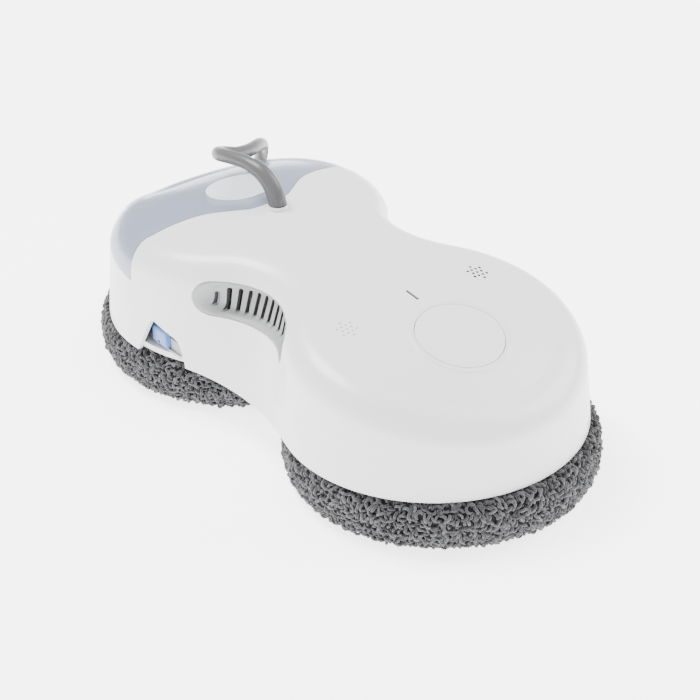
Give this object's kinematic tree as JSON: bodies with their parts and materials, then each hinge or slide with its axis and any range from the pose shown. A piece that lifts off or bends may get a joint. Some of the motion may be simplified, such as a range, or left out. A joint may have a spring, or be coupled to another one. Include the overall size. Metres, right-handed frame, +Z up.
{
  "type": "window cleaning robot",
  "caption": "Twin-disc window cleaning robot: hourglass housing on two round spinning cleaning pads, with a clip-on water tank, spray nozzles, suction fan and a mains-adapter lead.",
  "frame": {"origin": "middle between the two wheels, on the surface that the pads stand on", "axes": "+X along the body towards the button end, +Y across the body, +Z up from the surface that is cleaned"},
  "size_m": [0.3625, 0.2209, 0.1075],
  "materials": {
    "shell": "satin white moulded",
    "chassis": "matt white moulded",
    "grille": "matt light grey",
    "light_pipe": "polished, milky",
    "tank_plastic": "translucent grey-blue",
    "cord_sheath": "soft grey sheath",
    "plug_body": "matt black",
    "contact_metal": "nickel plated",
    "pad_cloth": "grey chenille microfibre",
    "hook_tape": "black hook tape",
    "inner_plastic": "unpainted moulded",
    "bearing_plastic": "acetal",
    "gear_plastic": "acetal",
    "brass_gear": "machined",
    "motor_case": "plated steel can",
    "dark_plastic": "matt black",
    "screw_steel": "zinc plated",
    "board": "green solder mask",
    "cell_wrap": "shrink wrap",
    "nozzle_blue": "blue moulded",
    "clear_plastic": "translucent",
    "seal_rubber": "soft black rubber",
    "hose_tube": "silicone tube"
  },
  "bodies": {
    "root": {"top_shell": "shell", "cable_grommet": "shell", "base_chassis": "chassis", "left_vent_grille": "grille", "right_vent_grille": "grille", "status_light": "light_pipe", "strain_relief": "cord_sheath", "power_cord": "cord_sheath", "cord_coil": "cord_sheath", "dc_plug": "plug_body", "cord_tie": "plug_body", "plug_barrel": "contact_metal", "cable_clamp": "inner_plastic", "front_gear_cover": "inner_plastic", "rear_gear_cover": "inner_plastic", "suction_duct": "inner_plastic", "fan_housing": "inner_plastic", "fan_cover": "inner_plastic", "battery_tray": "inner_plastic", "front_bush": "bearing_plastic", "rear_bush": "bearing_plastic", "front_gearmotor": "motor_case", "rear_gearmotor": "motor_case", "fan_motor": "motor_case", "board_parts": "dark_plastic", "tact_switch": "dark_plastic", "speaker": "dark_plastic", "alarm_buzzer": "dark_plastic", "water_pump": "dark_plastic", "housing_screws": "screw_steel", "cover_screws": "screw_steel", "main_board": "board", "button_board": "board", "battery_cells": "cell_wrap", "left_nozzle": "nozzle_blue", "right_nozzle": "nozzle_blue", "left_nozzle_holder": "clear_plastic", "right_nozzle_holder": "clear_plastic", "tank_seal": "seal_rubber", "feed_hose": "hose_tube", "left_spray_hose": "hose_tube", "right_spray_hose": "hose_tube"},
    "front_wheel": {"front_disc": "inner_plastic", "front_gear": "gear_plastic", "front_gear_screws": "screw_steel", "front_hook_ring": "hook_tape", "front_pad": "pad_cloth"},
    "rear_wheel": {"rear_disc": "inner_plastic", "rear_gear": "gear_plastic", "rear_gear_screws": "screw_steel", "rear_hook_ring": "hook_tape", "rear_pad": "pad_cloth"},
    "front_drive": {"front_pinion": "brass_gear"},
    "rear_drive": {"rear_pinion": "brass_gear"},
    "fan": {"fan_impeller": "dark_plastic", "fan_shaft": "screw_steel"},
    "button": {"power_button": "shell"},
    "tank": {"water_tank": "tank_plastic", "tank_valve": "seal_rubber"}
  },
  "joints": [
    {"name": "front_wheel_spin", "type": "hinge", "parent": "root", "child": "front_wheel", "pos_m": [0.0755, 0, 0], "axis": [0, 0, 1], "continuous": true},
    {"name": "rear_wheel_spin", "type": "hinge", "parent": "root", "child": "rear_wheel", "pos_m": [-0.0755, 0, 0], "axis": [0, 0, 1], "continuous": true},
    {"name": "front_pinion_spin", "type": "hinge", "parent": "root", "child": "front_drive", "pos_m": [0.04722, 0.02828, 0.036], "axis": [0, 0, 1], "continuous": true},
    {"name": "rear_pinion_spin", "type": "hinge", "parent": "root", "child": "rear_drive", "pos_m": [-0.04722, -0.02828, 0.036], "axis": [0, 0, 1], "continuous": true},
    {"name": "fan_spin", "type": "hinge", "parent": "root", "child": "fan", "pos_m": [0, 0, 0.06], "axis": [0, 0, 1], "continuous": true},
    {"name": "button_press", "type": "slide", "parent": "root", "child": "button", "axis": [-0.2487, 0, -0.9686], "range_m": [0, 0.0008], "stiffness_N_per_m": 2000, "springref_m": -0.0002},
    {"name": "tank_slide", "type": "slide", "parent": "root", "child": "tank", "axis": [-0.995, 0, 0.0995], "range_m": [0, 0.006]}
  ],
  "couplings": [
    {"joint": "front_pinion_spin", "follows": "front_wheel_spin", "ratio": -3},
    {"joint": "rear_pinion_spin", "follows": "rear_wheel_spin", "ratio": -3}
  ]
}
